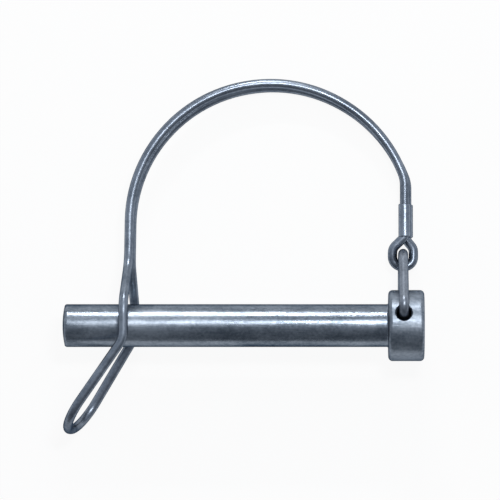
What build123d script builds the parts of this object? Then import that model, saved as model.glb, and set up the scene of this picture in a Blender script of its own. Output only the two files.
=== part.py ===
from build123d import *
import os
from math import cos, radians, sin, tan

# Scaffold pin: a headed round pin kept in its hole by a spring-wire bail.  The
# bail is tied to the head by a wire link and closes round the shank near the tip.
# Millimetres.  X runs along the pin towards its head, Z is up, and the origin is on
# the pin's axis in the plane of the head's bearing face.  The pin lies down: the
# link's lower leg, the thumb loop and the arch carry it on the ground.

# ---- driving dimensions ---------------------------------------------------------
# pin
SHANK_DIAMETER = 10.0
SHANK_LENGTH = 76.1           # bearing face to the middle of the crowned tip
TIP_CROWN_RADIUS = 21.0       # the cropped end is slightly domed
TIP_EDGE_RADIUS = 0.6
HEAD_DIAMETER = 16.6
HEAD_LENGTH = 8.4
HEAD_EDGE_RADIUS = 1.0
NECK_FILLET = 0.4             # under the head
HOLE_DIAMETER = 3.6           # across the head, for the link
HOLE_PLACE = 3.55             # bearing face to the hole's axis
HOLE_BREAK = 0.3              # broken edge at each mouth
PIN_ROLL = 22.5               # lean of the hole when the pin lies down

# link: a three-cornered ring of round wire that lies on one of its legs
LINK_WIRE = 2.3
LINK_PLAY = 0.55              # link's legs to the round of the head
LINK_CORNER_RADIUS = 2.0      # centre line, just outside the hole
LINK_REACH = 17.75            # hole's axis to the middle of the outer bend

# bail: one closed run of spring wire, doubled, its strands lying together
BAIL_WIRE = 2.2
STRAND_GAP = 0.06             # between the strands
STRAND_STEP = (-0.26, 0.46)   # how far the upper strand sits off the pair's middle
ARCH_RADIUS = 33.25
ARCH_HEIGHT = 22.95           # pin's axis to the arch's centre
ARCH_INSET = 0.62             # ferrule's run to the start of the arch
ARCH_START = 22.0             # degrees, where the arch leaves the ferrule's run
ARCH_END = 178.0              # degrees, where the arch meets the straight side
ARCH_BENDS = 4                # equal bends that make up the arch
BEND_SHARE = 0.985            # of a bend's full radius, leaving a short straight run
ARCH_TOUCH = 60.0             # degrees, where the arch rests on the ground
BAIL_SLOPE = -0.0511          # fall of the arch's plane towards the head
KNEE_RADIUS = 7.5             # between the arch and the ferrule's run
SIDE_FOOT = 14.6              # pin's axis to where the strands part
SIDE_LEAN = 0.1               # how far the side leans in from the arch's edge
PARTING_RADIUS = 8.0
CROSSING_RADIUS = 6.0
SHANK_GAP_UPPER = 1.2         # shank to the strand that crosses above it
SHANK_GAP_LOWER = 1.9         # shank to the strand that crosses below it
# corners past the parting: X from the side's foot, Y from the pin's axis
UPPER_CROSSING = ((-1.45, 5.5), (-1.45, -2.9))
LOWER_CROSSING = ((1.2, 3.0), (0.8, -3.2))
THUMB_UPPER = (-16.1, -24.0)  # corners of the thumb loop's round end
THUMB_LOWER = (-11.9, -24.6)
THUMB_DEPTH = 16.0            # between the thumb loop's legs
THUMB_RADIUS = 7.7
EYE_SIDE_GAP = 0.2            # link's wire to the sides of the eye
EYE_FOOT_GAP = 0.4            # link's wire to the foot of the eye
EYE_RADIUS = 2.3
EYE_NECK = 0.3                # straight run below the ferrule
EYE_NECK_RADIUS = 1.6
EYE_SHOULDER = 1.6            # height of the eye's shoulders above the link's wire

# ferrule: a sleeve pressed over both strands
FERRULE_LENGTH = 7.8
FERRULE_RISE = 4.2            # link's end to the ferrule's lower end
FERRULE_OFFSET = 0.65         # how far its middle sits past the link's end
FERRULE_WALL = 0.35
FERRULE_EDGE = 0.3

# ---- worked-out sizes and places ------------------------------------------------
shank_radius = SHANK_DIAMETER / 2
head_radius = HEAD_DIAMETER / 2
hole_radius = HOLE_DIAMETER / 2
link_radius = LINK_WIRE / 2
bail_radius = BAIL_WIRE / 2
roll = radians(PIN_ROLL)
hole_axis = Vector(0, sin(roll), cos(roll))
link_axis = Vector(0, cos(roll), -sin(roll))
hole_middle = Vector(HOLE_PLACE, 0, 0)

# Each leg of the link leans in by the pin's roll, so the lower one lies level.
link_half_width = (head_radius + link_radius + LINK_PLAY) / cos(roll)
link_point = link_half_width / tan(roll)
link_bend_radius = (link_point - LINK_REACH) / (1 / sin(roll) - 1)
ground = -link_half_width * cos(roll) - link_radius
link_end = hole_middle + link_axis * LINK_REACH
ferrule_x = link_end.X + FERRULE_OFFSET
ferrule_foot = link_end.Y + FERRULE_RISE

# The arch starts just inside the ferrule's run, and the side hangs from its far edge.
arch_x = ferrule_x - ARCH_INSET - ARCH_RADIUS * cos(radians(ARCH_START))
side_x = arch_x - ARCH_RADIUS + SIDE_LEAN


def make_pin():
    """Shank and head in one piece, with the link's hole drilled across the head."""
    crown = TIP_CROWN_RADIUS - (TIP_CROWN_RADIUS**2 - shank_radius**2) ** 0.5
    tip_shoulder = (crown - SHANK_LENGTH, shank_radius)
    with BuildPart() as pin:
        with BuildSketch(Plane.XY) as profile:
            with BuildLine():
                Polyline(
                    (-SHANK_LENGTH, 0),
                    (HEAD_LENGTH, 0),
                    (HEAD_LENGTH, head_radius),
                    (0, head_radius),
                    (0, shank_radius),
                    tip_shoulder,
                )
                RadiusArc(tip_shoulder, (-SHANK_LENGTH, 0), -TIP_CROWN_RADIUS)
            make_face()
            corners = profile.vertices()
            fillet(corners.sort_by_distance(tip_shoulder)[0], TIP_EDGE_RADIUS)
            fillet(profile.vertices().group_by(Axis.Y)[-1], HEAD_EDGE_RADIUS)
            fillet(profile.vertices().sort_by_distance((0, shank_radius))[0], NECK_FILLET)
        revolve(axis=Axis.X)
        with Locations(Plane(origin=hole_middle, z_dir=hole_axis)):
            Cylinder(hole_radius, 2 * HEAD_DIAMETER, mode=Mode.SUBTRACT)
    mouths = [
        edge
        for edge in pin.part.edges()
        if edge.geom_type != GeomType.CIRCLE
        and (edge.center() - hole_middle).length > head_radius / 2
    ]
    return pin.part.chamfer(HOLE_BREAK, None, mouths)


def wire(points, radii, diameter):
    """Round wire along straight runs joined by tangent arcs."""
    path = FilletPolyline(*points, radius=radii)
    start = Plane(origin=path @ 0, z_dir=path % 0)
    return sweep(start * Circle(diameter / 2), path=path)


def make_link():
    """Inner bar through the hole, two leaning legs and a round outer bend."""

    def place(reach, across):
        return hole_middle + link_axis * reach + hole_axis * across

    upper = wire(
        [place(0, 0), place(0, link_half_width), place(link_point / 2, link_half_width / 2)],
        [LINK_CORNER_RADIUS],
        LINK_WIRE,
    )
    outer = wire(
        [
            place(link_point / 2, link_half_width / 2),
            place(link_point, 0),
            place(link_point / 2, -link_half_width / 2),
        ],
        [link_bend_radius],
        LINK_WIRE,
    )
    lower = wire(
        [place(link_point / 2, -link_half_width / 2), place(0, -link_half_width), place(0, 0)],
        [LINK_CORNER_RADIUS],
        LINK_WIRE,
    )
    return upper + outer + lower


# The arch's plane passes through the link's end and meets the ground at one place.
strand_rise = ((STRAND_GAP + BAIL_WIRE) ** 2 / 4 - STRAND_STEP[0] ** 2) ** 0.5
upper_step = Vector(STRAND_STEP[0], STRAND_STEP[1], strand_rise)
touch = Vector(
    arch_x + ARCH_RADIUS * cos(radians(ARCH_TOUCH)),
    ARCH_HEIGHT + ARCH_RADIUS * sin(radians(ARCH_TOUCH)),
    ground + bail_radius + strand_rise,
)
touch_run = touch - link_end
bail_rise = (touch_run.Z - BAIL_SLOPE * touch_run.X) / touch_run.Y


def pair_middle(x, y):
    """Middle between the strands, in the plane of the arch."""
    height = link_end.Z + BAIL_SLOPE * (x - link_end.X) + bail_rise * (y - link_end.Y)
    return Vector(x, y, height)


def arch_outline():
    """Foot of the ferrule's run, its knee, the arch's bends and the side's foot."""
    start = radians(ARCH_START)
    step = radians(ARCH_END - ARCH_START) / ARCH_BENDS
    knee_y = ARCH_HEIGHT + ARCH_RADIUS * sin(start) - ARCH_INSET / tan(start)
    outline = [(ferrule_x, ferrule_foot - EYE_NECK), (ferrule_x, knee_y)]
    reach = ARCH_RADIUS / cos(step / 2)
    for bend in range(ARCH_BENDS):
        turn = start + (bend + 0.5) * step
        outline.append((arch_x + reach * cos(turn), ARCH_HEIGHT + reach * sin(turn)))
    return outline + [(side_x, SIDE_FOOT)]


def strand(side):
    """Corners of the upper (1) or lower (-1) strand, from the eye to the parting."""
    return [pair_middle(x, y) + upper_step * side for x, y in arch_outline()]


def past_side(place, height):
    """Corner beyond the parting, at a height over the pin's axis."""
    return Vector(side_x + place[0], place[1], height)


def make_bail():
    """The wire in two lengths that meet inside the ferrule: eye, and all the rest."""
    side_gap = link_radius + EYE_SIDE_GAP + bail_radius
    foot = link_end.Y - link_radius - EYE_FOOT_GAP - bail_radius
    shoulder = link_end.Y + EYE_SHOULDER
    left = link_end.X - side_gap
    right = link_end.X + side_gap
    lift = Vector(0, 0, strand_rise / 2)
    upper = strand(1)
    lower = strand(-1)
    upper_joint = (upper[0] + upper[1]) / 2
    lower_joint = (lower[0] + lower[1]) / 2

    eye = [
        lower_joint,
        lower[0],
        pair_middle(right, shoulder) - lift,
        pair_middle(right, foot),
        pair_middle(left, foot),
        pair_middle(left, shoulder) + lift,
        upper[0],
        upper_joint,
    ]
    eye_radii = [EYE_NECK_RADIUS] + [EYE_RADIUS] * 4 + [EYE_NECK_RADIUS]

    above = shank_radius + SHANK_GAP_UPPER + bail_radius
    below = -shank_radius - SHANK_GAP_LOWER - bail_radius
    thumb_foot = ground + bail_radius
    loop = [past_side(place, above) for place in UPPER_CROSSING]
    loop.append(past_side(THUMB_UPPER, thumb_foot + THUMB_DEPTH))
    loop.append(past_side(THUMB_LOWER, thumb_foot))
    loop += [past_side(place, below) for place in reversed(LOWER_CROSSING)]
    strand_radii = [KNEE_RADIUS] + [ARCH_RADIUS * BEND_SHARE] * ARCH_BENDS + [PARTING_RADIUS]
    loop_radii = [CROSSING_RADIUS] * 2 + [THUMB_RADIUS] * 2 + [CROSSING_RADIUS] * 2

    rest = [upper_joint] + upper[1:] + loop + lower[:0:-1] + [lower_joint]
    rest_radii = strand_radii + loop_radii + strand_radii[::-1]
    return wire(eye, eye_radii, BAIL_WIRE) + wire(rest, rest_radii, BAIL_WIRE)


def make_ferrule(bail):
    """Two rounds pressed into one sleeve, cut to the strands that it holds."""
    foot = pair_middle(ferrule_x, ferrule_foot)
    top = pair_middle(ferrule_x, ferrule_foot + FERRULE_LENGTH)
    section = Plane(origin=foot, x_dir=(1, 0, 0), z_dir=top - foot)
    lobe = Cylinder(bail_radius + FERRULE_WALL, FERRULE_LENGTH)
    lobe = fillet(lobe.edges().filter_by(GeomType.CIRCLE), FERRULE_EDGE)
    sleeve = Part()
    for side in (1, -1):
        place = section.to_local_coords(foot + upper_step * side)
        sleeve += section * Pos(place.X, place.Y, FERRULE_LENGTH / 2) * lobe
    return sleeve - bail


def main():
    """Write each piece to its own file."""
    bail = make_bail()
    pieces = {
        "pin": make_pin(),
        "link": make_link(),
        "spring_wire": bail,
        "ferrule": make_ferrule(bail),
    }
    os.makedirs("parts", exist_ok=True)
    for name, piece in pieces.items():
        export_step(piece, f"parts/{name}.step")


main()
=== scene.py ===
from math import cos, radians, sin

import bpy
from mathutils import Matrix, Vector


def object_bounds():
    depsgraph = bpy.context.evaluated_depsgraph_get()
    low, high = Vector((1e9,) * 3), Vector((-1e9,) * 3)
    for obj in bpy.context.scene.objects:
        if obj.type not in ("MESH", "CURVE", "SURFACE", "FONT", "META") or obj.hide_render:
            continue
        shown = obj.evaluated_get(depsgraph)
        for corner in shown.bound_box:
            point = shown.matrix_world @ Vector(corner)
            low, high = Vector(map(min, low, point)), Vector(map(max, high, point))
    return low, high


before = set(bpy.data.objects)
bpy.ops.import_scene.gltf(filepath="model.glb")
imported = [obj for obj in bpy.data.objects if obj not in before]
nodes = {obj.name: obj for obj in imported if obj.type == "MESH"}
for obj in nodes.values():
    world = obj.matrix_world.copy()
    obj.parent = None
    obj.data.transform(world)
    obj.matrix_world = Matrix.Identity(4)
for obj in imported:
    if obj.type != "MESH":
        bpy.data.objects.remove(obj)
cad_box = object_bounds()

# ---- sizes and places, in metres -------------------------------------------------
MM = 0.001
FLOOR_HEIGHT = cad_box[0][2]
FLOOR_SIZE = 3.0
FLOOR_GLOW = 0.92              # share of the floor that shows as plain white
FLOOR_SHEEN = 0.5              # the same, as the metal sees it
FLOOR_PAPER = (0.9, 0.9, 0.9, 1)
RIM_TINT = (0.12, 0.14, 0.17, 1)
CLOUD_SCALE = 300.0            # grains of each noise, per metre
PATCH_SCALE = 90.0
SPECK_SCALE = 1500.0
LINE_SCALE = 1100.0
WAVE_SCALE = 420.0
RELIEF_DEPTH = 0.15 * MM
NECK_BLEND = 0.5 * MM          # either side of the bearing face
STRIP_LEAN = radians(65)       # lamps, from straight above towards the arch
OVERHEAD_LEAN = radians(16.5)
CAMERA_HEIGHT = 2.0
CAMERA_CENTRE = (-32.3 * MM, 17.66 * MM)
CAMERA_VIEW = 116.8 * MM       # width that the camera takes in at the pin's axis
SENSOR_WIDTH = 36.0            # millimetres, as Blender counts it


# ---- material helpers ------------------------------------------------------------
def add_node(tree, kind, **inputs):
    node = tree.nodes.new(kind)
    for name, value in inputs.items():
        node.inputs[name.replace("_", " ")].default_value = value
    return node


def math_node(tree, operation, first, second):
    """Sum of two values, each a number or a socket, done as the operation says."""
    node = add_node(tree, "ShaderNodeMath")
    node.operation = operation
    for socket, value in zip(node.inputs, (first, second)):
        if isinstance(value, bpy.types.NodeSocket):
            tree.links.new(value, socket)
        else:
            socket.default_value = value
    return node.outputs["Value"]


def weighted(tree, *parts):
    """Sum of values, each times its share."""
    total = 0.0
    for value, share in parts:
        total = math_node(tree, "ADD", total, math_node(tree, "MULTIPLY", value, share))
    return total


def noise_on(tree, coords, stretch, scale, detail=4.0, roughness=0.6):
    """Noise stretched along one way of the piece."""
    place = add_node(tree, "ShaderNodeMapping", Scale=stretch)
    tree.links.new(coords, place.inputs["Vector"])
    noise = add_node(
        tree, "ShaderNodeTexNoise", Scale=scale, Detail=detail, Roughness=roughness
    )
    tree.links.new(place.outputs["Vector"], noise.inputs["Vector"])
    return noise.outputs["Fac"]


def ramp(tree, value, stops):
    node = add_node(tree, "ShaderNodeValToRGB")
    while len(node.color_ramp.elements) < len(stops):
        node.color_ramp.elements.new(0.5)
    for element, (position, colour) in zip(node.color_ramp.elements, stops):
        element.position = position
        element.color = (*colour, 1.0)
    tree.links.new(value, node.inputs["Fac"])
    return node.outputs["Color"]


def span(tree, value, low, high, start=0.3, end=0.7):
    """Stretches the values between start and end to run from low to high."""
    node = add_node(
        tree, "ShaderNodeMapRange", From_Min=start, From_Max=end, To_Min=low, To_Max=high
    )
    tree.links.new(value, node.inputs["Value"])
    return node.outputs["Result"]


def dull_plate(name, dark, light, rough, grain, bump, head_rough=0.0):
    """Dull zinc plating: cloudy tint, rubbed places, drawn lines, small pits.

    Beyond the bearing face the metal is rougher by head_rough.
    """
    material = bpy.data.materials.new(name)
    material.use_nodes = True
    tree = material.node_tree
    tree.nodes.clear()
    coords = add_node(tree, "ShaderNodeTexCoord").outputs["Object"]
    shader = add_node(tree, "ShaderNodeBsdfPrincipled", Metallic=1.0, Specular_Tint=RIM_TINT)
    out = add_node(tree, "ShaderNodeOutputMaterial")
    tree.links.new(shader.outputs["BSDF"], out.inputs["Surface"])

    cloud = noise_on(tree, coords, (0.35, 1, 1), CLOUD_SCALE, 5.0, 0.65)
    patches = noise_on(tree, coords, (0.5, 1, 1), PATCH_SCALE, 3.0, 0.6)
    specks = noise_on(tree, coords, (1, 1, 1), SPECK_SCALE, 2.0, 0.5)
    tone = weighted(tree, (cloud, 0.4), (patches, 0.35), (specks, 0.25))
    tree.links.new(ramp(tree, tone, [(0.40, dark), (0.60, light)]), shader.inputs["Base Color"])

    lines = noise_on(tree, coords, grain, LINE_SCALE, 5.0, 0.7)
    worn = weighted(tree, (lines, 0.5), (patches, 0.5))
    along = add_node(tree, "ShaderNodeSeparateXYZ")
    tree.links.new(coords, along.inputs["Vector"])
    headward = span(tree, along.outputs["X"], 0.0, head_rough, -NECK_BLEND, NECK_BLEND)
    gloss = math_node(tree, "ADD", span(tree, worn, *rough), headward)
    tree.links.new(gloss, shader.inputs["Roughness"])

    waves = noise_on(tree, coords, tuple(0.4 * share for share in grain), WAVE_SCALE, 2.0, 0.5)
    heights = weighted(tree, (lines, 0.3), (waves, 1.0))
    relief = add_node(tree, "ShaderNodeBump", Strength=bump, Distance=RELIEF_DEPTH)
    tree.links.new(heights, relief.inputs["Height"])
    tree.links.new(relief.outputs["Normal"], shader.inputs["Normal"])
    return material


# ---- finishes --------------------------------------------------------------------
FINISHES = {
    "pin": dull_plate(
        "plated_pin",
        dark=(0.14, 0.17, 0.21),
        light=(0.35, 0.395, 0.455),
        rough=(0.18, 0.40),
        grain=(0.08, 1, 1),
        bump=0.7,
        head_rough=0.12,
    ),
    "link": dull_plate(
        "plated_link",
        dark=(0.20, 0.225, 0.265),
        light=(0.33, 0.37, 0.43),
        rough=(0.28, 0.44),
        grain=(1, 1, 1),
        bump=0.4,
    ),
    "spring_wire": dull_plate(
        "plated_spring",
        dark=(0.17, 0.20, 0.245),
        light=(0.31, 0.355, 0.42),
        rough=(0.26, 0.40),
        grain=(1, 1, 1),
        bump=0.4,
    ),
    "ferrule": dull_plate(
        "plated_sleeve",
        dark=(0.22, 0.255, 0.31),
        light=(0.35, 0.40, 0.47),
        rough=(0.26, 0.40),
        grain=(1, 0.3, 1),
        bump=0.4,
    ),
}
for piece, finish in FINISHES.items():
    nodes[piece].data.materials.clear()
    nodes[piece].data.materials.append(finish)


# ---- floor -----------------------------------------------------------------------
def white_floor():
    """Pale floor that is plain white to the eye and still takes the soft shadow."""
    material = bpy.data.materials.new("pale_floor")
    material.use_nodes = True
    tree = material.node_tree
    tree.nodes.clear()
    paths = add_node(tree, "ShaderNodeLightPath")
    direct = math_node(tree, "MULTIPLY", paths.outputs["Is Camera Ray"], FLOOR_GLOW)
    seen = math_node(tree, "MAXIMUM", paths.outputs["Is Glossy Ray"], paths.outputs["Is Transmission Ray"])
    share = math_node(tree, "MAXIMUM", direct, math_node(tree, "MULTIPLY", seen, FLOOR_SHEEN))
    paper = add_node(tree, "ShaderNodeBsdfDiffuse", Color=FLOOR_PAPER)
    glow = add_node(tree, "ShaderNodeEmission", Strength=1.0)
    mix = add_node(tree, "ShaderNodeMixShader")
    out = add_node(tree, "ShaderNodeOutputMaterial")
    tree.links.new(share, mix.inputs["Fac"])
    tree.links.new(paper.outputs["BSDF"], mix.inputs[1])
    tree.links.new(glow.outputs["Emission"], mix.inputs[2])
    tree.links.new(mix.outputs["Shader"], out.inputs["Surface"])
    return material


bpy.ops.object.select_all(action="DESELECT")
bpy.ops.mesh.primitive_plane_add(size=FLOOR_SIZE, location=(0, 0, FLOOR_HEIGHT))
floor = bpy.context.object
floor.name = "floor"
floor.data.materials.append(white_floor())


# ---- lamps -----------------------------------------------------------------------
def soft_lamp(name, towards, distance, size, power):
    """Area lamp out along a direction from the pin's middle, facing back to it."""
    middle = Vector((CAMERA_CENTRE[0], CAMERA_CENTRE[1], 0))
    direction = Vector(towards).normalized()
    lamp = bpy.data.lights.new(name, "AREA")
    lamp.shape = "RECTANGLE"
    lamp.size, lamp.size_y = size
    lamp.energy = power
    holder = bpy.data.objects.new(name, lamp)
    bpy.context.scene.collection.objects.link(holder)
    holder.location = middle + direction * distance
    holder.rotation_euler = direction.to_track_quat("Z", "Y").to_euler()


soft_lamp("strip_above", (0.0, sin(STRIP_LEAN), cos(STRIP_LEAN)), 0.45, (0.11, 0.012), 0.65)
soft_lamp("overhead", (0.16, sin(OVERHEAD_LEAN), cos(OVERHEAD_LEAN)), 0.6, (0.12, 0.04), 1.15)


def studio_world():
    """Pale wall on the arch's side of the pin, dim on the other."""
    world = bpy.data.worlds.new("studio")
    bpy.context.scene.world = world
    world.use_nodes = True
    tree = world.node_tree
    direction = add_node(tree, "ShaderNodeTexCoord").outputs["Generated"]
    parts = add_node(tree, "ShaderNodeSeparateXYZ")
    tree.links.new(direction, parts.inputs["Vector"])
    across = span(tree, parts.outputs["Y"], 0.0, 1.0, -1.0, 1.0)
    levels = [(0.0, 0.20), (0.33, 0.28), (0.50, 0.48), (0.75, 0.68), (0.88, 0.45), (1.0, 0.28)]
    shades = [(place, (0.86 * level, 0.93 * level, 1.03 * level)) for place, level in levels]
    tree.links.new(ramp(tree, across, shades), tree.nodes["Background"].inputs["Color"])


studio_world()


# ---- camera ----------------------------------------------------------------------
eye = bpy.data.cameras.new("camera")
eye.sensor_width = SENSOR_WIDTH
eye.lens = SENSOR_WIDTH * CAMERA_HEIGHT / CAMERA_VIEW
eye.clip_end = 10.0
camera = bpy.data.objects.new("camera", eye)
bpy.context.scene.collection.objects.link(camera)
camera.location = (*CAMERA_CENTRE, CAMERA_HEIGHT)
bpy.context.scene.camera = camera
bpy.context.scene.view_settings.view_transform = "Standard"
